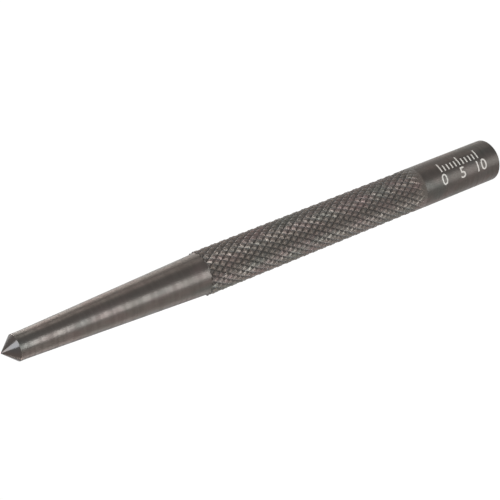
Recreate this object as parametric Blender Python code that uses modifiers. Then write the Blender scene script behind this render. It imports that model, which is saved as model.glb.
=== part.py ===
"""Center punch: a one-piece bar of blackened tool steel, turned, knurled and ground.

The punch stands on its struck end, with its point up. The origin is the
centre of the flat striking face, and +Z runs along the axis towards the
point. Lengths are in metres and angles in radians.
"""

import math

import bmesh
import bpy

# Driving dimensions of the turned bar
OVERALL_LENGTH = 0.115          # striking face to the end of the point
BODY_DIAMETER = 0.0086          # plain head end, and the tops of the knurl
HEAD_LENGTH = 0.0206            # plain cylinder under the striking face
HEAD_CHAMFER = 0.00045          # broken edge around the striking face
TAPER_BIG_DIAMETER = 0.008      # taper where it leaves the grip
SHOULDER_LENGTH = 0.00012       # slope of the small step from grip to taper
POINT_DIAMETER = 0.005          # parallel land behind the point
LAND_LENGTH = 0.0015            # length of that land
POINT_ANGLE = math.radians(84)  # included angle of the ground point
NOSE_DIAMETER = 0.00016         # tiny flat that a sharp point wears to

# Driving dimensions of the diamond knurl
GRIP_LENGTH = 0.0529            # knurled length
KNURL_STARTS = 20               # grooves of each hand around the bar
KNURL_ANGLE = math.radians(32)  # helix angle of the grooves to the axis
KNURL_DEPTH = 0.0003            # groove bottom below the diamond tops
RUN_OUT_LENGTH = 0.0033         # where the rolls lift off towards the head

# Sizes that follow from them
BODY_RADIUS = BODY_DIAMETER / 2
TAPER_BIG_RADIUS = TAPER_BIG_DIAMETER / 2
POINT_RADIUS = POINT_DIAMETER / 2
NOSE_RADIUS = NOSE_DIAMETER / 2
CONE_LENGTH = (POINT_RADIUS - NOSE_RADIUS) / math.tan(POINT_ANGLE / 2)
GRIP_BOTTOM = HEAD_LENGTH
GRIP_TOP = GRIP_BOTTOM + GRIP_LENGTH
TAPER_BOTTOM = GRIP_TOP + SHOULDER_LENGTH
CONE_BOTTOM = OVERALL_LENGTH - CONE_LENGTH
TAPER_TOP = CONE_BOTTOM - LAND_LENGTH

# Each diamond is two columns wide and two rows long, so that every groove
# crossing and every diamond top falls on a point of the turned surface.
COLUMNS = 2 * KNURL_STARTS
COLUMN_WIDTH = math.pi * BODY_DIAMETER / COLUMNS
ROWS = max(2, round(GRIP_LENGTH * math.tan(KNURL_ANGLE) / COLUMN_WIDTH))
ROW_LENGTH = GRIP_LENGTH / ROWS

CREASE_ANGLE = math.radians(20)


def start_clean():
    """Remove the objects of the scene."""
    for scene_object in list(bpy.data.objects):
        bpy.data.objects.remove(scene_object, do_unlink=True)


def new_collection(name):
    """Make a collection in the scene."""
    collection = bpy.data.collections.new(name)
    bpy.context.scene.collection.children.link(collection)
    return collection


def blackened_steel():
    """Oil-blackened tool steel, a warm dark grey with a satin sheen."""
    material = bpy.data.materials.new("blackened_steel")
    material.use_nodes = True
    shader = material.node_tree.nodes["Principled BSDF"]
    shader.inputs["Base Color"].default_value = (0.105, 0.092, 0.083, 1.0)
    shader.inputs["Metallic"].default_value = 0.85
    shader.inputs["Roughness"].default_value = 0.42
    material.diffuse_color = (0.105, 0.092, 0.083, 1.0)
    return material


def knurl_row_height(row):
    """Height of one row of the knurl, counted down from the shoulder."""
    return GRIP_TOP - row * ROW_LENGTH


def bar_profile():
    """Radius and height of the turned outline, from the point down to the head."""
    profile = [
        (0.0, OVERALL_LENGTH),
        (NOSE_RADIUS, OVERALL_LENGTH),
        (POINT_RADIUS, CONE_BOTTOM),
        (POINT_RADIUS, TAPER_TOP),
        (TAPER_BIG_RADIUS, TAPER_BOTTOM),
    ]
    for row in range(ROWS + 1):
        profile.append((BODY_RADIUS, knurl_row_height(row)))
    profile.append((BODY_RADIUS, HEAD_CHAMFER))
    profile.append((BODY_RADIUS - HEAD_CHAMFER, 0.0))
    profile.append((0.0, 0.0))
    return profile


def turn_profile(name, profile, collection):
    """Turn an open outline in the XZ plane about Z, with the Screw modifier."""
    mesh = bpy.data.meshes.new(name)
    points = [(radius, 0.0, height) for radius, height in profile]
    edges = [(index, index + 1) for index in range(len(points) - 1)]
    mesh.from_pydata(points, edges, [])
    turned = bpy.data.objects.new(name, mesh)
    collection.objects.link(turned)
    screw = turned.modifiers.new("turn", "SCREW")
    screw.axis = "Z"
    screw.angle = 2 * math.pi
    screw.steps = COLUMNS
    screw.render_steps = COLUMNS
    screw.use_merge_vertices = True
    screw.merge_threshold = 0.00001
    return turned


def apply_modifiers(turned):
    """Keep the evaluated shape as the object's own mesh."""
    graph = bpy.context.evaluated_depsgraph_get()
    outline = turned.data
    turned.data = bpy.data.meshes.new_from_object(turned.evaluated_get(graph))
    turned.modifiers.clear()
    bpy.data.meshes.remove(outline)


def groove_depth(height):
    """Depth of the grooves at a height, less where the rolls lift off at the head end."""
    lift = (height - GRIP_BOTTOM) / RUN_OUT_LENGTH
    return KNURL_DEPTH * min(1.0, max(0.0, lift))


def roll_knurl(turned):
    """Press the two hands of grooves into the grip, so that diamonds stand between them.

    The grooves cross at every second point of the surface. Those points go
    down, the others stay as the diamonds' tops, and each square of the
    surface is folded along its groove.
    """
    shape = bmesh.new()
    shape.from_mesh(turned.data)
    column_angle = 2 * math.pi / COLUMNS
    crossings = []
    for point in shape.verts:
        row = round((GRIP_TOP - point.co.z) / ROW_LENGTH)
        on_grip = abs(point.co.z - knurl_row_height(row)) < SHOULDER_LENGTH / 2
        if not on_grip or row < 0 or row > ROWS:
            continue
        column = round(math.atan2(point.co.y, point.co.x) / column_angle)
        if (row + column) % 2 == 0:
            crossings.append(point)
    for point in crossings:
        radius = BODY_RADIUS - groove_depth(point.co.z)
        point.co.xy = point.co.xy.normalized() * radius
    bmesh.ops.connect_verts(shape, verts=crossings)
    shape.to_mesh(turned.data)
    shape.free()


def build_punch(collection, material):
    """Turn the bar, knurl its grip and give it its material."""
    punch = turn_profile("punch", bar_profile(), collection)
    apply_modifiers(punch)
    roll_knurl(punch)
    punch.data.materials.append(material)
    punch.data.shade_smooth()
    punch.data.set_sharp_from_angle(angle=CREASE_ANGLE)
    return punch


def main():
    """Build the center punch."""
    start_clean()
    collection = new_collection("center_punch")
    build_punch(collection, blackened_steel())


main()
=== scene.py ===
"""Looks of a center punch: a turned, knurled and ground bar of blackened steel.

The bar is modelled again over its solid with finer edges, pressed diamonds
and a shallow etched scale, and gets its finishes. It stands on its struck
end, +Z runs to the point, and the etched scale faces -Y.
"""

from __future__ import annotations

import logging
import math
from dataclasses import dataclass, field
from enum import Enum

import bmesh
import bpy
from mathutils import Matrix, Vector, noise

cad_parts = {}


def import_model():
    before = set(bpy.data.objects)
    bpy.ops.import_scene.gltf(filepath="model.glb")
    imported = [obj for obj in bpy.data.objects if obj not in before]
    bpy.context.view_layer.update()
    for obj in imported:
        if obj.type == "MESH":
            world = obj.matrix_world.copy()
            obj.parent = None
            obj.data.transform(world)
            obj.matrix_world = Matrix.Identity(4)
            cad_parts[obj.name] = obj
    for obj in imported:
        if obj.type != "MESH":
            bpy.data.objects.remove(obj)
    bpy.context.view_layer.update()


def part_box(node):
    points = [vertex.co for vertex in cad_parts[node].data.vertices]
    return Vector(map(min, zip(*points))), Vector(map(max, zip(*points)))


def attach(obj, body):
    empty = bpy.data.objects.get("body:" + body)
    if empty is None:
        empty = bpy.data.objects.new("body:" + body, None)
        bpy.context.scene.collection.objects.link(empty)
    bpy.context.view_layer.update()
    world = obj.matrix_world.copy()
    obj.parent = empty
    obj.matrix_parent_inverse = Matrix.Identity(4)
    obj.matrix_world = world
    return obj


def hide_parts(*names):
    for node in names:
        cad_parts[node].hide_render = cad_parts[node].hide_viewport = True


LOG = logging.getLogger("center_punch")

MM = 0.001
FRONT = math.radians(-3.75)  # side of the bar that the camera faces, from -Y towards +X
Color = tuple[float, float, float, float]


class Finish(Enum):
    """The finishes on the bar, in the order of its material slots."""

    TURNED = 0
    KNURLED = 1
    GROUND = 2
    ETCHED = 3


class LineKind(Enum):
    """The lines of the scale."""

    LONG = "long"
    SHORT = "short"


@dataclass(frozen=True)
class Ring:
    """One corner of the turned outline.

    Attributes:
        radius: Distance from the axis.
        height: Height above the striking face.
        edge: Radius of the broken edge there, or nought where it stays sharp.
    """

    radius: float
    height: float
    edge: float = 0.0


@dataclass(frozen=True)
class Knurl:
    """A diamond knurl, rolled with two hands of straight-flanked ridges.

    Attributes:
        starts: Grooves of each hand around the bar.
        angle: Helix angle of the grooves to the axis.
        depth: Groove bottom below the diamonds' tops.
        top: Height of the end with full depth, next to the taper.
        bottom: Height of the end where the rolls lift off.
        run_out: Length over which they lift off.
        radius: Radius over the diamonds' tops.
        steps: Faces along each side of a quarter of a diamond.
        flank: Share of the way from a groove to a diamond's centre that slopes.
        unevenness: How much the depth varies along and around the grip.
        patch: Size of the patches in which it varies.
    """

    top: float
    bottom: float
    radius: float
    starts: int = 20
    angle: float = math.radians(32)
    depth: float = 0.32 * MM
    run_out: float = 3.3 * MM
    steps: int = 4
    flank: float = 0.84
    unevenness: float = 0.12
    patch: float = 2.1 * MM

    @property
    def quarter_columns(self) -> int:
        """Quarter diamonds around the bar."""
        return 2 * self.starts

    @property
    def columns(self) -> int:
        """Faces around the bar."""
        return self.quarter_columns * self.steps

    @property
    def quarter_rows(self) -> int:
        """Quarter diamonds along the bar."""
        width = 2 * math.pi * self.radius / self.quarter_columns
        return round((self.top - self.bottom) * math.tan(self.angle) / width)

    def row_heights(self) -> list[float]:
        """Work out the rows of points.

        Returns:
            Their heights, from the taper down.
        """
        rows = self.quarter_rows * self.steps
        length = self.top - self.bottom
        return [self.top - length * row / rows for row in range(rows + 1)]

    def place_in_diamond(self, point: Vector) -> float:
        """How far a point is from the nearest groove.

        Args:
            point: A point on the bar's surface.

        Returns:
            Nought on a groove's bottom line, one at a diamond's centre.
        """
        around = math.atan2(point.y, point.x) / (2 * math.pi) * self.quarter_columns
        along = (self.top - point.z) / (self.top - self.bottom) * self.quarter_rows
        one_hand = (around + along) / 2
        other_hand = (around - along) / 2
        nearest = min(abs(hand - round(hand)) for hand in (one_hand, other_hand))
        return 2 * nearest

    def groove(self, point: Vector) -> float:
        """Depth of the knurl at a point.

        Args:
            point: A point on the bar's surface.

        Returns:
            How far the surface lies below the diamonds' tops there.
        """
        tool = self.place_in_diamond(point) / self.flank
        lift = min(1.0, max(0.0, (point.z - self.bottom) / self.run_out))
        press = lift * (1 + self.unevenness * noise.noise(point / self.patch))
        return self.depth * max(0.0, min(press, 1.0) - tool)


@dataclass(frozen=True)
class Stretch:
    """A straight stretch of the turned outline.

    Attributes:
        low: Height of its lower end.
        high: Height of its upper end.
        slope: Angle of its side to the axis.
    """

    low: float
    high: float
    slope: float

    def normal(self, point: Vector) -> Vector:
        """The true normal of its surface.

        Args:
            point: A point on the surface.

        Returns:
            The normal there.
        """
        outward = Vector((point.x, point.y, 0.0)).normalized()
        return outward * math.cos(self.slope) + Vector((0.0, 0.0, math.sin(self.slope)))


@dataclass(frozen=True)
class BarSizes:
    """Sizes of the punch, as its solid has them.

    Attributes:
        length: Striking face to the end of the point.
        radius: Radius of the plain head end and of the knurl's tops.
        head_length: Length of the plain head end.
        head_chamfer: Width of the chamfer around the striking face.
        grip_length: Length of the knurl.
        shoulder_length: Length of the small step from the knurl to the taper.
        taper_big_radius: Radius of the taper's thick end.
        point_radius: Radius of the land behind the point.
        land_length: Length of that land.
        point_angle: Included angle of the ground point.
        nose_radius: Radius of the worn flat at its end.
    """

    length: float
    radius: float
    head_length: float = 20.6 * MM
    head_chamfer: float = 0.45 * MM
    grip_length: float = 52.9 * MM
    shoulder_length: float = 0.12 * MM
    taper_big_radius: float = 4.0 * MM
    point_radius: float = 2.5 * MM
    land_length: float = 1.5 * MM
    point_angle: float = math.radians(84)
    nose_radius: float = 0.08 * MM

    @classmethod
    def from_frame(cls) -> BarSizes:
        """Take the length and the radius from the solid."""
        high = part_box("punch")[1]
        return cls(length=high.z, radius=high.x)

    @property
    def grip_top(self) -> float:
        """Height of the knurl's end at the taper."""
        return self.head_length + self.grip_length

    @property
    def taper_bottom(self) -> float:
        """Height of the taper's thick end."""
        return self.grip_top + self.shoulder_length

    @property
    def taper_top(self) -> float:
        """Height of the taper's thin end."""
        return self.cone_bottom - self.land_length

    @property
    def cone_bottom(self) -> float:
        """Height of the ground point's base."""
        cone = (self.point_radius - self.nose_radius) / math.tan(self.point_angle / 2)
        return self.length - cone

    @property
    def taper_slope(self) -> float:
        """Angle of the taper's side to the axis."""
        return math.atan2(self.taper_big_radius - self.point_radius, self.taper_top - self.taper_bottom)

    def stretches(self) -> list[Stretch]:
        """The straight stretches of the turned outline."""
        return [
            Stretch(self.cone_bottom, self.length, self.point_angle / 2),
            Stretch(self.taper_top, self.cone_bottom, 0.0),
            Stretch(self.taper_bottom, self.taper_top, self.taper_slope),
            Stretch(self.head_chamfer, self.head_length, 0.0),
        ]


@dataclass
class TurnedBar:
    """The bar as one closed mesh, made in a maker's order: turned, then knurled.

    Attributes:
        sizes: The sizes of the punch.
        knurl: Its knurl.
        head_ring_spacing: Distance between the rings of points on the head end.
        point_edge: Broken edge between the point and its land.
        land_edge: Rounding between the land and the taper.
        chamfer_edge: Broken edges of the head's chamfer.
        nose_edge: Rounding around the worn flat.
        edge_segments: Faces across each of those edges.
        weld: Distance within which points are the same.
    """

    sizes: BarSizes
    knurl: Knurl
    head_ring_spacing: float = 1.0 * MM
    point_edge: float = 0.06 * MM
    land_edge: float = 0.5 * MM
    chamfer_edge: float = 0.09 * MM
    nose_edge: float = 0.03 * MM
    edge_segments: int = 3
    weld: float = 0.0001 * MM

    def outline(self) -> list[Ring]:
        """Draw the turned outline.

        Returns:
            Its corners, from the point down to the striking face.
        """
        sizes = self.sizes
        rings = [
            Ring(0.0, sizes.length),
            Ring(sizes.nose_radius, sizes.length, self.nose_edge),
            Ring(sizes.point_radius, sizes.cone_bottom, self.point_edge),
            Ring(sizes.point_radius, sizes.taper_top, self.land_edge),
            Ring(sizes.taper_big_radius, sizes.taper_bottom),
        ]
        rings += [Ring(sizes.radius, height) for height in self.knurl.row_heights()]
        rings += [Ring(sizes.radius, height) for height in self.head_heights()]
        rings.append(Ring(sizes.radius, sizes.head_chamfer, self.chamfer_edge))
        rings.append(Ring(sizes.radius - sizes.head_chamfer, 0.0, self.chamfer_edge))
        rings.append(Ring(0.0, 0.0))
        return rings

    def head_heights(self) -> list[float]:
        """Divide the plain head end.

        Returns:
            Heights of the rings between the knurl and the head's chamfer.
        """
        plain = self.sizes.head_length - self.sizes.head_chamfer
        count = round(plain / self.head_ring_spacing)
        return [self.sizes.head_length - plain * ring / count for ring in range(1, count)]

    def build(self) -> bmesh.types.BMesh:
        """Turn the outline, break its edges and roll the knurl.

        Returns:
            The finished bar, without its etched scale.
        """
        shape = bmesh.new()
        rings = self.outline()
        points = [shape.verts.new((ring.radius, 0.0, ring.height)) for ring in rings]
        lines = [shape.edges.new(pair) for pair in zip(points, points[1:])]
        bmesh.ops.spin(
            shape,
            geom=points + lines,
            cent=(0, 0, 0),
            axis=(0, 0, 1),
            dvec=(0, 0, 0),
            angle=2 * math.pi,
            steps=self.knurl.columns,
            use_merge=True,
        )
        bmesh.ops.remove_doubles(shape, verts=shape.verts, dist=self.weld)
        bmesh.ops.recalc_face_normals(shape, faces=shape.faces)
        self.break_edges(shape, rings)
        self.roll(shape)
        return shape

    def break_edges(self, shape: bmesh.types.BMesh, rings: list[Ring]) -> None:
        """Round the rings that have a broken edge.

        Args:
            shape: The turned bar.
            rings: Its outline.
        """
        for ring in rings:
            if not ring.edge:
                continue
            edges = [
                edge
                for edge in shape.edges
                if all(abs(point.co.z - ring.height) < self.weld for point in edge.verts)
                and all(abs(point.co.xy.length - ring.radius) < self.weld for point in edge.verts)
            ]
            bmesh.ops.bevel(
                shape,
                geom=edges,
                offset=ring.edge,
                offset_type="OFFSET",
                segments=self.edge_segments,
                profile=0.5,
                affect="EDGES",
                material=-1,
            )

    def roll(self, shape: bmesh.types.BMesh) -> None:
        """Press the knurl's grooves into the grip, and fold its faces along them.

        Args:
            shape: The turned bar.
        """
        slack = self.weld
        grip = [
            point
            for point in shape.verts
            if self.knurl.bottom - slack < point.co.z < self.knurl.top + slack
        ]
        for point in grip:
            point.co.xy = point.co.xy.normalized() * (self.knurl.radius - self.knurl.groove(point.co))
        pressed = set(grip)
        faces = [face for face in shape.faces if pressed.issuperset(face.verts)]
        bmesh.ops.triangulate(shape, faces=faces, quad_method="SHORT_EDGE")


@dataclass
class EtchedScale:
    """A plain scale of ten divisions, with numbers, etched in the head end.

    It reads down the standing bar: its start is nearest to the knurl, and its
    tops point to +X.

    Attributes:
        radius: Radius of the head end.
        middle: Where the middle of its front is, as an angle from -Y towards +X.
        start: Height of the scale's first line.
        division: Distance between two lines.
        divisions: How many divisions it has.
        numbered_every: How many divisions lie between two numbers.
        lines_low: Foot of the lines, as an arc from the middle of the head's front.
        long_line: Length of a line with a number.
        short_line: Length of the others.
        stroke: Width of a line.
        numbers_low: Foot of the numbers, as the lines' foot is given.
        number_height: Height of the numbers.
        cap_share: Height of a number as a share of the font's size.
        boldness: How far the numbers' outline is pushed out.
        curve_steps: Straight stretches in each curve of a number.
        depth: Depth of the etching.
        slice_width: Width of the strips that bend round the bar.
        clearance: How far the cutter stands proud of the bar.
        weld: Distance within which points are the same.
    """

    radius: float
    middle: float
    start: float = 15.45 * MM
    division: float = 1.0 * MM
    divisions: int = 10
    numbered_every: int = 5
    lines_low: float = 0.95 * MM
    long_line: float = 2.2 * MM
    short_line: float = 1.35 * MM
    stroke: float = 0.36 * MM
    numbers_low: float = -1.75 * MM
    number_height: float = 2.3 * MM
    cap_share: float = 0.7
    boldness: float = 0.02 * MM
    curve_steps: int = 6
    depth: float = 0.03 * MM
    slice_width: float = 0.12 * MM
    clearance: float = 0.1 * MM
    weld: float = 0.001 * MM

    def line_length(self, kind: LineKind) -> float:
        """Give the length of a line of the scale."""
        return self.long_line if kind is LineKind.LONG else self.short_line

    def draw(self) -> bmesh.types.BMesh:
        """Draw the scale flat, x along the bar from the start, and y up its letters.

        Returns:
            The flat faces of the lines and the numbers.
        """
        flat = bmesh.new()
        for step in range(self.divisions + 1):
            numbered = step % self.numbered_every == 0
            kind = LineKind.LONG if numbered else LineKind.SHORT
            self.draw_line(flat, step * self.division, self.line_length(kind))
            if numbered:
                self.draw_number(flat, step, step * self.division)
        return flat

    def draw_line(self, flat: bmesh.types.BMesh, along: float, length: float) -> None:
        """Add one line of the scale.

        Args:
            flat: The drawing.
            along: Distance of the line from the scale's start.
            length: Its length.
        """
        place = Matrix.Translation((along, self.lines_low + length / 2, 0))
        size = Matrix.Diagonal((self.stroke, length, 1, 1))
        bmesh.ops.create_grid(flat, x_segments=1, y_segments=1, size=0.5, matrix=place @ size)

    def draw_number(self, flat: bmesh.types.BMesh, number: int, along: float) -> None:
        """Add one number, centred under its line.

        Args:
            flat: The drawing.
            number: The number to write.
            along: Distance of its middle from the scale's start.
        """
        text = bpy.data.curves.new("number", "FONT")
        text.body = str(number)
        text.align_x = "CENTER"
        text.size = self.number_height / self.cap_share
        text.offset = self.boldness
        text.resolution_u = self.curve_steps
        written = bpy.data.objects.new("number", text)
        bpy.context.scene.collection.objects.link(written)
        graph = bpy.context.evaluated_depsgraph_get()
        mesh = bpy.data.meshes.new_from_object(written.evaluated_get(graph))
        mesh.transform(Matrix.Translation((along, self.numbers_low, 0)))
        flat.from_mesh(mesh)
        bpy.data.objects.remove(written)
        bpy.data.curves.remove(text)
        bpy.data.meshes.remove(mesh)

    def cutter(self) -> bpy.types.Object:
        """Make the solid that cuts the scale into the head end.

        Returns:
            A closed solid, bent round the bar.
        """
        shape = self.draw()
        bmesh.ops.remove_doubles(shape, verts=shape.verts, dist=self.weld)
        self.slice(shape)
        shape.normal_update()
        downward = [face for face in shape.faces if face.normal.z < 0]
        bmesh.ops.reverse_faces(shape, faces=downward)
        bmesh.ops.solidify(shape, geom=shape.faces[:], thickness=self.depth + self.clearance)
        for point in shape.verts:
            point.co = self.wrap(point.co)
        for face in shape.faces:
            face.material_index = Finish.ETCHED.value
        return new_object("scale_cutter", shape)

    def slice(self, shape: bmesh.types.BMesh) -> None:
        """Cut the drawing into narrow strips along the bar, so that it can bend.

        Args:
            shape: The flat drawing.
        """
        low = min(point.co.y for point in shape.verts)
        high = max(point.co.y for point in shape.verts)
        for strip in range(1, math.ceil((high - low) / self.slice_width)):
            bmesh.ops.bisect_plane(
                shape,
                geom=shape.verts[:] + shape.edges[:] + shape.faces[:],
                dist=self.weld,
                plane_co=(0, low + strip * self.slice_width, 0),
                plane_no=(0, 1, 0),
            )

    def wrap(self, place: Vector) -> Vector:
        """Bend a point of the drawing round the bar.

        Args:
            place: A point of the solid drawing, whose top is at nought.

        Returns:
            The same point on the head end.
        """
        turn = self.middle + place.y / self.radius
        radius = self.radius + self.clearance + place.z
        return Vector((radius * math.sin(turn), -radius * math.cos(turn), self.start - place.x))


def new_object(name: str, shape: bmesh.types.BMesh) -> bpy.types.Object:
    """Turn a finished shape into an object of the scene.

    Args:
        name: The object's name.
        shape: Its shape, which is freed.

    Returns:
        The object, at the origin.
    """
    mesh = bpy.data.meshes.new(name)
    shape.to_mesh(mesh)
    shape.free()
    made = bpy.data.objects.new(name, mesh)
    bpy.context.scene.collection.objects.link(made)
    return made


def socket(sockets: bpy.types.bpy_prop_collection, name: str | int) -> bpy.types.NodeSocket:
    """Find a socket of a node by its identifier, or else by its name or its number."""
    return next((one for one in sockets if one.identifier == name), None) or sockets[name]


@dataclass
class Board:
    """A node tree, with short calls for adding nodes and joining them.

    Attributes:
        tree: The tree.
    """

    tree: bpy.types.NodeTree

    def add(self, kind: str, values: dict | None = None, **settings: object) -> bpy.types.Node:
        """Add a node.

        Args:
            kind: The node's type.
            values: A value, or an output to link from, for each input by name.
            **settings: Properties of the node.

        Returns:
            The new node.
        """
        node = self.tree.nodes.new(kind)
        for name, value in settings.items():
            setattr(node, name, value)
        for name, value in (values or {}).items():
            target = socket(node.inputs, name)
            if isinstance(value, bpy.types.NodeSocket):
                self.tree.links.new(value, target)
            else:
                target.default_value = value
        return node

    def math(self, operation: str, first: object, second: object = 0.0) -> bpy.types.NodeSocket:
        """Work out a value from one or two others.

        Args:
            operation: What to do with them.
            first: The first value, or an output.
            second: The second value, or an output.

        Returns:
            The result's output.
        """
        node = self.add("ShaderNodeMath", operation=operation)
        for target, value in zip(node.inputs, (first, second)):
            if isinstance(value, bpy.types.NodeSocket):
                self.tree.links.new(value, target)
            else:
                target.default_value = value
        return node.outputs[0]

    def noise(self, vector: object, scale: float, detail: float = 2.0) -> bpy.types.NodeSocket:
        """Add a noise over the surface, whose mean is about a half."""
        values = {"Vector": vector, "Scale": scale, "Detail": detail}
        return self.add("ShaderNodeTexNoise", values).outputs["Fac"]

    def mapped(self, vector: object, scale: tuple[float, float, float]) -> bpy.types.NodeSocket:
        """Stretch the coordinates of a pattern."""
        return self.add("ShaderNodeMapping", {"Vector": vector, "Scale": scale}).outputs[0]

    def between(
        self, value: object, low: float, high: float, to: tuple[float, float] = (0.0, 1.0)
    ) -> bpy.types.NodeSocket:
        """Spread a value's range from low to high over another range."""
        values = {"Value": value, "From Min": low, "From Max": high, "To Min": to[0], "To Max": to[1]}
        return self.add("ShaderNodeMapRange", values).outputs["Result"]

    def blend(self, factor: object, first: object, second: object) -> bpy.types.NodeSocket:
        """Mix two colours.

        Args:
            factor: Share of the second one.
            first: The first colour, or an output.
            second: The second colour, or an output.

        Returns:
            The mixed colour's output.
        """
        values = {"Factor_Float": factor, "A_Color": first, "B_Color": second}
        node = self.add("ShaderNodeMix", values, data_type="RGBA")
        return socket(node.outputs, "Result_Color")


def new_group(name: str, inputs: dict[str, str], outputs: dict[str, str]) -> tuple[Board, dict, dict]:
    """Start a shader node group.

    Args:
        name: The group's name.
        inputs: The type of each input socket by name.
        outputs: The type of each output socket by name.

    Returns:
        The group's board, its inputs' sockets and its outputs' sockets.
    """
    tree = bpy.data.node_groups.new(name, "ShaderNodeTree")
    for label, kind in inputs.items():
        tree.interface.new_socket(label, in_out="INPUT", socket_type=kind)
    for label, kind in outputs.items():
        tree.interface.new_socket(label, in_out="OUTPUT", socket_type=kind)
    board = Board(tree)
    given = board.add("NodeGroupInput").outputs
    result = board.add("NodeGroupOutput").inputs
    return board, given, result


FLOAT = "NodeSocketFloat"
COLOR = "NodeSocketColor"
QUARTER_TURN = 0.25  # of a whole turn, which draws the shine out along the bar


@dataclass
class SteelEffects:
    """The effects that the finishes share, each a node group that is built once.

    A pattern's scale is how many times it repeats in a metre, and a range is
    where its noise starts to show and where it shows in full.

    Attributes:
        drawn_out: How far the clouds are squeezed along the bar, less than one to draw them out.
        warm_scale: Scale of the warm clouds.
        warm_range: Range of the warm clouds.
        cool_scale: Scale of the cool clouds.
        cool_range: Range of the cool clouds.
        speck_scale: Scale of the bare specks.
        speck_range: Range of the bare specks.
        fine_spread: Scale around the bar of the fine rings.
        streak_spread: Scale around the bar of the deeper rings.
        streak_rate: How many deeper rings there are to a fine one.
        streak_height: How many times deeper they are.
        streak_range: Range of the deeper rings.
        grain_scale: Scale of the grain that runs no way.
        blackening: The group of the cloudy tints.
        lathe_marks: The group of the rings.
    """

    drawn_out: float = 0.45
    warm_scale: float = 420.0
    warm_range: tuple[float, float] = (0.46, 0.68)
    cool_scale: float = 240.0
    cool_range: tuple[float, float] = (0.48, 0.70)
    speck_scale: float = 5200.0
    speck_range: tuple[float, float] = (0.69, 0.78)
    fine_spread: float = 35.0
    streak_spread: float = 190.0
    streak_rate: float = 0.055
    streak_height: float = 9.0
    streak_range: tuple[float, float] = (0.42, 0.58)
    grain_scale: float = 1900.0
    blackening: bpy.types.NodeTree = field(init=False)
    lathe_marks: bpy.types.NodeTree = field(init=False)

    def __post_init__(self) -> None:
        """Build the groups."""
        self.blackening = self.build_blackening()
        self.lathe_marks = self.build_lathe_marks()

    def build_blackening(self) -> bpy.types.NodeTree:
        """Cloudy tints of an oil-blackened surface, with rare lighter specks.

        Returns:
            A group that puts out a colour and a mask of the cloudiness.
        """
        colours = {"Tone": COLOR, "Warm": COLOR, "Cool": COLOR, "Bare": COLOR}
        board, given, result = new_group(
            "blackening", {**colours, "Specks": FLOAT}, {"Color": COLOR, "Cloud": FLOAT}
        )
        place = board.add("ShaderNodeTexCoord").outputs["Object"]
        drawn_out = board.mapped(place, (1.0, 1.0, self.drawn_out))
        warm = board.between(board.noise(drawn_out, self.warm_scale, detail=3.0), *self.warm_range)
        cool = board.between(board.noise(drawn_out, self.cool_scale), *self.cool_range)
        speck = board.between(board.noise(place, self.speck_scale), *self.speck_range)
        tinted = board.blend(warm, given["Tone"], given["Warm"])
        tinted = board.blend(cool, tinted, given["Cool"])
        specks = board.math("MULTIPLY", speck, given["Specks"])
        board.tree.links.new(board.blend(specks, tinted, given["Bare"]), result["Color"])
        board.tree.links.new(warm, result["Cloud"])
        return board.tree

    def build_lathe_marks(self) -> bpy.types.NodeTree:
        """Fine rings that a tool or a grinding wheel leaves around the bar.

        Returns:
            A group that puts out the height of the marks, a mask of the deeper
            rings and the height of a grain that runs no way.
        """
        board, given, result = new_group(
            "lathe_marks", {"Spacing": FLOAT}, {"Height": FLOAT, "Rings": FLOAT, "Grain": FLOAT}
        )
        place = board.add("ShaderNodeTexCoord").outputs["Object"]
        along = board.add("ShaderNodeSeparateXYZ", {"Vector": place}).outputs["Z"]
        pitch = board.math("DIVIDE", along, given["Spacing"])
        fine = board.noise(self.around(board, place, self.fine_spread, pitch), 1.0)
        streaks = board.math("MULTIPLY", pitch, self.streak_rate)
        coarse = board.noise(self.around(board, place, self.streak_spread, streaks), 1.0, detail=5.0)
        height = board.math("ADD", fine, board.math("MULTIPLY", coarse, self.streak_height))
        board.tree.links.new(height, result["Height"])
        board.tree.links.new(board.between(coarse, *self.streak_range), result["Rings"])
        board.tree.links.new(board.noise(place, self.grain_scale, detail=3.0), result["Grain"])
        return board.tree

    @staticmethod
    def around(board: Board, place: object, spread: float, along: object) -> bpy.types.NodeSocket:
        """Coordinates of a pattern that is drawn out around the bar.

        Args:
            board: The board to work on.
            place: The place on the bar.
            spread: How fast the pattern changes around it.
            along: Its coordinate along the bar.

        Returns:
            The pattern's coordinates.
        """
        flat = board.mapped(place, (spread, spread, 0.0))
        lift = board.add("ShaderNodeCombineXYZ", {"Z": along}).outputs[0]
        return board.add("ShaderNodeVectorMath", {0: flat, 1: lift}, operation="ADD").outputs[0]


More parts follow.
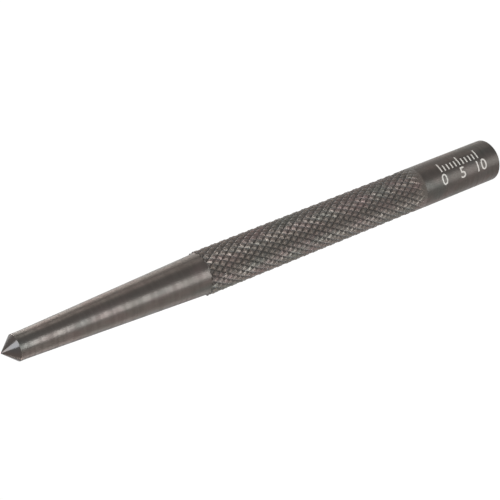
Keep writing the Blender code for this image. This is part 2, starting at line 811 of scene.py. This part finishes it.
@dataclass(frozen=True)
class Steel:
    """A steel finish of the punch.

    Attributes:
        name: The material's name.
        tone: Its main colour.
        warm: The colour of its warmer clouds.
        cool: The colour of its cooler clouds.
        bare: The colour of the steel where it shows through.
        specks: How strongly the bare specks show.
        smooth: Roughness at its smoothest.
        rough: Roughness at its dullest.
        metallic: How metallic it is.
        anisotropic: How much the marks around the bar draw out its shine.
        spacing: Distance between two of those marks.
        marks: How deep they look, as the bump's distance.
        ring_tint: How much lighter the colour is on the deeper rings.
        grain: How uneven the surface is between them, as the bump's distance.
        groove_dirt: How much darker the colour is at the bottom of a groove: partly dirt, partly
            painted shade.
        dull_tops: How much rougher the diamonds' tops are than their rolled sides.
        sheen: How strongly its rough crests catch light from the side.
        cloud_dulling: Share of the way from smooth to rough that the warm clouds add.
        ring_shine: Share of that way that the deeper rings take off.
        dirt: The colour painted at the bottom of the grooves, for their dirt and for their shade.
        dirt_top: Height in the groove where its painted shade and dirt end, as a share of the depth.
        dull_from: Height from which a diamond's top is dull, likewise.
    """

    name: str
    tone: Color
    warm: Color
    cool: Color
    bare: Color
    specks: float = 0.0
    smooth: float = 0.3
    rough: float = 0.4
    metallic: float = 1.0
    anisotropic: float = 0.0
    spacing: float = 0.05 * MM
    marks: float = 0.001 * MM
    ring_tint: float = 0.0
    grain: float = 0.0
    groove_dirt: float = 0.0
    dull_tops: float = 0.0
    sheen: float = 0.0
    cloud_dulling: float = 0.3
    ring_shine: float = 0.7
    # Near black painted into the grooves' bottoms: dirt that settles there, and painted shade of the
    # recess.
    dirt: Color = (0.012, 0.011, 0.010, 1.0)
    dirt_top: float = 0.7
    dull_from: float = 0.6

    def make(self, effects: SteelEffects) -> bpy.types.Material:
        """Build the material.

        Args:
            effects: The shared node groups.

        Returns:
            The material.
        """
        material = bpy.data.materials.new(self.name)
        material.use_nodes = True
        board = Board(material.node_tree)
        shader = board.tree.nodes["Principled BSDF"]
        marks = self.group(board, effects.lathe_marks, {"Spacing": self.spacing})
        colour, roughness = self.surface(board, effects, marks)
        board.tree.links.new(colour, shader.inputs["Base Color"])
        board.tree.links.new(roughness, shader.inputs["Roughness"])
        board.tree.links.new(self.relief(board, marks), shader.inputs["Normal"])
        shader.inputs["Metallic"].default_value = self.metallic
        shader.inputs["Sheen Weight"].default_value = self.sheen
        if self.anisotropic:
            shader.inputs["Anisotropic"].default_value = self.anisotropic
            shader.inputs["Anisotropic Rotation"].default_value = QUARTER_TURN
            round_bar = board.add("ShaderNodeTangent", direction_type="RADIAL", axis="Z")
            board.tree.links.new(round_bar.outputs[0], shader.inputs["Tangent"])
        return material

    def surface(
        self, board: Board, effects: SteelEffects, marks: bpy.types.Node
    ) -> tuple[bpy.types.NodeSocket, bpy.types.NodeSocket]:
        """Work out the colour and the roughness over the surface.

        Args:
            board: The board to work on.
            effects: The shared node groups.
            marks: The marks around the bar.

        Returns:
            The outputs of the colour and of the roughness.
        """
        tints = {"Tone": self.tone, "Warm": self.warm, "Cool": self.cool, "Bare": self.bare}
        clouds = self.group(board, effects.blackening, {**tints, "Specks": self.specks})
        colour = clouds.outputs["Color"]
        if self.ring_tint:
            tint = board.math("MULTIPLY", marks.outputs["Rings"], self.ring_tint)
            colour = board.blend(tint, colour, self.bare)
        cloudy = board.math("MULTIPLY", clouds.outputs["Cloud"], self.cloud_dulling)
        plain = board.between(marks.outputs["Rings"], 0.0, 1.0, (self.ring_shine, 0.0))
        dull = board.math("ADD", cloudy, plain)
        roughness = board.between(dull, 0.0, 1.0, (self.smooth, self.rough))
        # Darken the bottoms of the knurl's grooves: partly the dirt that settles there, partly painted
        # shade in the recesses.
        if self.groove_dirt:
            crest = board.add("ShaderNodeAttribute", attribute_name="crest").outputs["Fac"]
            shade_and_dirt_mask = board.between(crest, 0.0, self.dirt_top, (self.groove_dirt, 0.0))
            colour = board.blend(shade_and_dirt_mask, colour, self.dirt)
            worn = board.between(crest, self.dull_from, 1.0, (0.0, self.dull_tops))
            roughness = board.math("ADD", roughness, worn)
        return colour, roughness

    def relief(self, board: Board, marks: bpy.types.Node) -> bpy.types.NodeSocket:
        """Raise the marks around the bar and the grain between them.

        Args:
            board: The board to work on.
            marks: The marks around the bar.

        Returns:
            The output of the surface's normal.
        """
        rings = {"Height": marks.outputs["Height"], "Distance": self.marks, "Strength": 1.0}
        bump = board.add("ShaderNodeBump", rings)
        if self.grain:
            grain = {"Height": marks.outputs["Grain"], "Distance": self.grain, "Strength": 1.0}
            uneven = board.add("ShaderNodeBump", grain)
            board.tree.links.new(uneven.outputs["Normal"], bump.inputs["Normal"])
        return bump.outputs["Normal"]

    @staticmethod
    def group(board: Board, tree: bpy.types.NodeTree, values: dict) -> bpy.types.Node:
        """Place a node group and set its inputs.

        Args:
            board: The board to place it on.
            tree: The group.
            values: Its inputs' values by name.

        Returns:
            The group's node.
        """
        node = board.add("ShaderNodeGroup", node_tree=tree)
        for name, value in values.items():
            node.inputs[name].default_value = value
        return node


TURNED = Steel(
    name="blackened_turned_steel",
    tone=(0.0545, 0.0467, 0.0420, 1.0),
    warm=(0.0630, 0.0495, 0.0455, 1.0),
    cool=(0.0470, 0.0460, 0.0420, 1.0),
    bare=(0.150, 0.135, 0.125, 1.0),
    specks=0.3,
    smooth=0.38,
    rough=0.56,
    anisotropic=0.8,
    marks=0.0015 * MM,
    ring_tint=0.08,
)
KNURLED = Steel(
    name="blackened_knurled_steel",
    tone=(0.0575, 0.0464, 0.0398, 1.0),
    warm=(0.0665, 0.0468, 0.0428, 1.0),
    cool=(0.0500, 0.0456, 0.0390, 1.0),
    bare=(0.22, 0.20, 0.185, 1.0),
    specks=0.7,
    smooth=0.40,
    rough=0.60,
    metallic=0.97,
    grain=0.12 * MM,
    # The grooves' bottoms are painted darker: partly dirt, partly painted shade in the recesses.
    groove_dirt=0.55,
    dull_tops=0.35,
    sheen=0.09,
)
GROUND = Steel(
    name="ground_point_steel",
    tone=(0.078, 0.066, 0.060, 1.0),
    warm=(0.084, 0.066, 0.059, 1.0),
    cool=(0.071, 0.066, 0.065, 1.0),
    bare=(0.25, 0.25, 0.25, 1.0),
    specks=0.2,
    smooth=0.16,
    rough=0.25,
    anisotropic=0.3,
)
ETCHED = Steel(
    name="etched_bright_steel",
    tone=(0.20, 0.180, 0.165, 1.0),
    warm=(0.22, 0.195, 0.175, 1.0),
    cool=(0.175, 0.168, 0.155, 1.0),
    bare=(0.30, 0.28, 0.26, 1.0),
    specks=0.6,
    smooth=0.55,
    rough=0.70,
    metallic=0.35,
)
FINISHES = {
    Finish.TURNED: TURNED,
    Finish.KNURLED: KNURLED,
    Finish.GROUND: GROUND,
    Finish.ETCHED: ETCHED,
}


@dataclass
class CenterPunch:
    """The whole punch: its bar, the scale etched in it and its finishes.

    Attributes:
        sizes: The sizes of the punch.
        crease_angle: Angle between two faces from which the edge between them is sharp.
        true_side: How well a face must agree with its stretch's true normal, as a cosine.
    """

    sizes: BarSizes
    crease_angle: float = math.radians(32)
    true_side: float = math.cos(math.radians(2))

    def build(self) -> bpy.types.Object:
        """Model the punch and dress it.

        Returns:
            The finished piece.
        """
        sizes = self.sizes
        knurl = Knurl(top=sizes.grip_top, bottom=sizes.head_length, radius=sizes.radius)
        shape = TurnedBar(sizes, knurl).build()
        self.set_finishes(shape)
        bar = new_object("punch_bar", shape)
        effects = SteelEffects()
        for finish in Finish:
            bar.data.materials.append(FINISHES[finish].make(effects))
        self.etch(bar, EtchedScale(radius=sizes.radius, middle=FRONT))
        self.smooth(bar)
        self.mark_crests(bar, knurl)
        return bar

    def set_finishes(self, shape: bmesh.types.BMesh) -> None:
        """Give each stretch of the bar its finish.

        Args:
            shape: The bar, before its scale is etched.
        """
        for face in shape.faces:
            height = face.calc_center_median().z
            if height > self.sizes.cone_bottom:
                face.material_index = Finish.GROUND.value
            elif self.sizes.head_length < height < self.sizes.grip_top:
                face.material_index = Finish.KNURLED.value
            else:
                face.material_index = Finish.TURNED.value

    def etch(self, bar: bpy.types.Object, scale: EtchedScale) -> None:
        """Cut the scale into the head end.

        Args:
            bar: The bar.
            scale: The scale.
        """
        cutter = scale.cutter()
        cut = bar.modifiers.new("etched_scale", "BOOLEAN")
        cut.operation = "DIFFERENCE"
        cut.solver = "EXACT"
        cut.object = cutter
        graph = bpy.context.evaluated_depsgraph_get()
        plain = bar.data
        etched = bpy.data.meshes.new_from_object(bar.evaluated_get(graph))
        bar.modifiers.clear()
        bar.data = etched
        etched.name = plain.name
        bpy.data.meshes.remove(plain)
        bpy.data.objects.remove(cutter)
        shape = bmesh.new()
        shape.from_mesh(etched)
        corners = [face for face in shape.faces if len(face.verts) > 4]
        bmesh.ops.triangulate(shape, faces=corners, ngon_method="BEAUTY")
        shape.to_mesh(etched)
        shape.free()

    def smooth(self, bar: bpy.types.Object) -> None:
        """Shade the bar smooth, with true normals on its straight turned stretches.

        Args:
            bar: The bar, with its scale.
        """
        mesh = bar.data
        mesh.shade_smooth()
        mesh.set_sharp_from_angle(angle=self.crease_angle)
        stretches = self.sizes.stretches()
        normals = [Vector((0.0, 0.0, 0.0))] * len(mesh.loops)
        for face in mesh.polygons:
            stretch = next((one for one in stretches if one.low < face.center.z < one.high), None)
            if stretch is None or face.normal.dot(stretch.normal(face.center)) < self.true_side:
                continue
            for loop, index in zip(face.loop_indices, face.vertices):
                normals[loop] = stretch.normal(mesh.vertices[index].co)
        mesh.normals_split_custom_set(normals)

    def mark_crests(self, bar: bpy.types.Object, knurl: Knurl) -> None:
        """Store how near each point is to the diamonds' tops.

        Args:
            bar: The bar.
            knurl: Its knurl.
        """
        crest = bar.data.attributes.new("crest", "FLOAT", "POINT")
        for point, value in zip(bar.data.vertices, crest.data):
            value.value = 1 - (knurl.radius - point.co.xy.length) / knurl.depth


PALE_BLUE = (0.89, 0.97, 1.0)
SKY_BLUE = (0.84, 0.93, 1.0)
CREAM = (1.0, 0.98, 0.94)
IVORY = (1.0, 0.975, 0.94)


@dataclass(frozen=True)
class Lamp:
    """A soft box lamp of the studio.

    Attributes:
        name: The lamp's name.
        azimuth: Its direction from the punch in degrees, from the punch's front towards -X.
        distance: Its distance from the punch's axis.
        height: Height of its middle.
        width: Its width.
        tall: Its height from edge to edge.
        power: Its power in watts.
        aim: Height of the point on the axis that it faces.
        color: The colour of its light.
    """

    name: str
    azimuth: float
    distance: float
    height: float
    width: float
    tall: float
    power: float
    aim: float = 0.06
    color: tuple[float, float, float] = (1.0, 1.0, 1.0)

    def place(self) -> bpy.types.Object:
        """Put the lamp in the scene.

        Returns:
            The lamp.
        """
        data = bpy.data.lights.new(self.name, "AREA")
        data.shape = "RECTANGLE"
        data.size = self.width
        data.size_y = self.tall
        data.energy = self.power
        data.color = self.color
        lamp = bpy.data.objects.new(self.name, data)
        turn = FRONT - math.radians(self.azimuth)
        spot = Vector((math.sin(turn), -math.cos(turn), 0)) * self.distance
        spot.z = self.height
        lamp.location = spot
        facing = Vector((0, 0, self.aim)) - spot
        lamp.rotation_euler = facing.to_track_quat("-Z", "Y").to_euler()
        bpy.context.scene.collection.objects.link(lamp)
        return lamp


@dataclass
class Studio:
    """The plain pale floor, the soft lamps, the backdrop and the camera.

    Attributes:
        camera_back: Distance of the camera from the punch's axis.
        camera_height: Its height above the floor.
        camera_pitch: How far it looks down.
        camera_yaw: How far it looks past the axis, towards +X.
        camera_roll: How far it is rolled, so that the punch lies across the frame.
        lens: Its focal length in millimetres.
        sensor: Width of its sensor in millimetres.
        nearest: Distance from which it sees.
        farthest: Distance up to which it sees.
        floor_size: Width of the floor.
        floor_squares: How many squares the floor has each way.
        floor_color: The colour of the floor.
        floor_glow: Share of the floor's white that is its own, where it is seen.
        backdrop_light: Strength of the light that the backdrop gives to dull surfaces.
        lamps: The soft box lamps.
    """

    camera_back: float = 244.8 * MM
    camera_height: float = 209.6 * MM
    camera_pitch: float = math.radians(31.157)
    camera_yaw: float = math.radians(0.160)
    camera_roll: float = math.radians(-111.681)
    lens: float = 109.8
    sensor: float = 36.0
    nearest: float = 0.01
    farthest: float = 20.0
    floor_size: float = 6.0
    floor_squares: int = 8
    floor_color: Color = (0.86, 0.86, 0.86, 1.0)
    floor_glow: float = 0.91
    backdrop_light: float = 0.6
    lamps: tuple[Lamp, ...] = (
        Lamp("key_lamp", 17, 0.50, height=0.12, width=0.32, tall=0.22, power=6.5, color=PALE_BLUE),
        Lamp("right_fill_lamp", -72, 0.60, height=0.17, width=0.25, tall=0.32, power=1.75, color=CREAM),
        Lamp("right_lamp", -118, 0.60, height=0.12, width=0.42, tall=0.22, power=5.0, color=CREAM),
        Lamp("cone_lamp", -36, 0.26, height=0.53, width=0.32, tall=0.34, power=1.85, color=SKY_BLUE),
        Lamp("left_fill_lamp", 75, 0.60, height=0.17, width=0.72, tall=0.32, power=3.2, color=IVORY),
        Lamp("left_lamp", 115, 0.60, height=0.17, width=0.25, tall=0.32, power=2.3, color=IVORY),
    )

    def build(self) -> None:
        """Set up the whole studio."""
        self.place_camera()
        self.lay_floor()
        self.hang_backdrop()
        for lamp in self.lamps:
            lamp.place()
        bpy.context.scene.view_settings.view_transform = "Standard"

    def place_camera(self) -> None:
        """Put the camera on the bar's front, looking down, and roll it."""
        data = bpy.data.cameras.new("camera")
        data.lens = self.lens
        data.sensor_width = self.sensor
        data.clip_start = self.nearest
        data.clip_end = self.farthest
        camera = bpy.data.objects.new("camera", data)
        turn = Matrix.Rotation(-self.camera_yaw, 4, "Z")
        turn = turn @ Matrix.Rotation(math.pi / 2 - self.camera_pitch, 4, "X")
        turn = turn @ Matrix.Rotation(self.camera_roll, 4, "Z")
        place = Matrix.Translation((0, -self.camera_back, self.camera_height))
        camera.matrix_world = Matrix.Rotation(FRONT, 4, "Z") @ place @ turn
        bpy.context.scene.collection.objects.link(camera)
        bpy.context.scene.camera = camera

    def lay_floor(self) -> None:
        """Lay a plain white floor that shows white but keeps the punch's shadow."""
        shape = bmesh.new()
        squares = self.floor_squares
        bmesh.ops.create_grid(shape, x_segments=squares, y_segments=squares, size=self.floor_size / 2)
        floor = new_object("floor", shape)
        material = bpy.data.materials.new("floor")
        material.use_nodes = True
        board = Board(material.node_tree)
        board.tree.nodes.clear()
        matt = board.add("ShaderNodeBsdfDiffuse", {"Color": self.floor_color})
        glow = board.add("ShaderNodeEmission", {"Color": (1, 1, 1, 1), "Strength": 1.0})
        seen = board.math("MULTIPLY", self.seen_directly(board), self.floor_glow)
        mixed = board.add("ShaderNodeMixShader", {"Fac": seen})
        board.tree.links.new(matt.outputs[0], mixed.inputs[1])
        board.tree.links.new(glow.outputs[0], mixed.inputs[2])
        board.add("ShaderNodeOutputMaterial", {"Surface": mixed.outputs[0]})
        floor.data.materials.append(material)

    def hang_backdrop(self) -> None:
        """Hang a plain backdrop that shows white, and lights the punch softly from all around."""
        world = bpy.data.worlds.new("backdrop")
        world.use_nodes = True
        board = Board(world.node_tree)
        board.tree.nodes.clear()
        strength = board.between(self.seen_directly(board), 0.0, 1.0, (self.backdrop_light, 1.0))
        white = board.add("ShaderNodeBackground", {"Color": (1, 1, 1, 1), "Strength": strength})
        board.add("ShaderNodeOutputWorld", {"Surface": white.outputs[0]})
        bpy.context.scene.world = world

    @staticmethod
    def seen_directly(board: Board) -> bpy.types.NodeSocket:
        """Tell the rays that show a surface from those that only carry its light.

        Args:
            board: The board to work on.

        Returns:
            One for rays from the camera, a mirror or a glass, and nought for others.
        """
        path = board.add("ShaderNodeLightPath").outputs
        glossy = board.math("MAXIMUM", path["Is Camera Ray"], path["Is Glossy Ray"])
        return board.math("MAXIMUM", glossy, path["Is Transmission Ray"])


def triangles(piece: bpy.types.Object) -> int:
    """Count a piece's triangles."""
    return sum(len(face.vertices) - 2 for face in piece.data.polygons)


def main() -> None:
    """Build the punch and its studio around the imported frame."""
    logging.basicConfig(level=logging.INFO, format="%(name)s: %(message)s")
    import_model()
    bar = CenterPunch(BarSizes.from_frame()).build()
    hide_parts("punch")
    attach(bar, "root")
    LOG.info("%s: %d faces, %d triangles", bar.name, len(bar.data.polygons), triangles(bar))
    Studio().build()


if __name__ == "__main__":
    main()
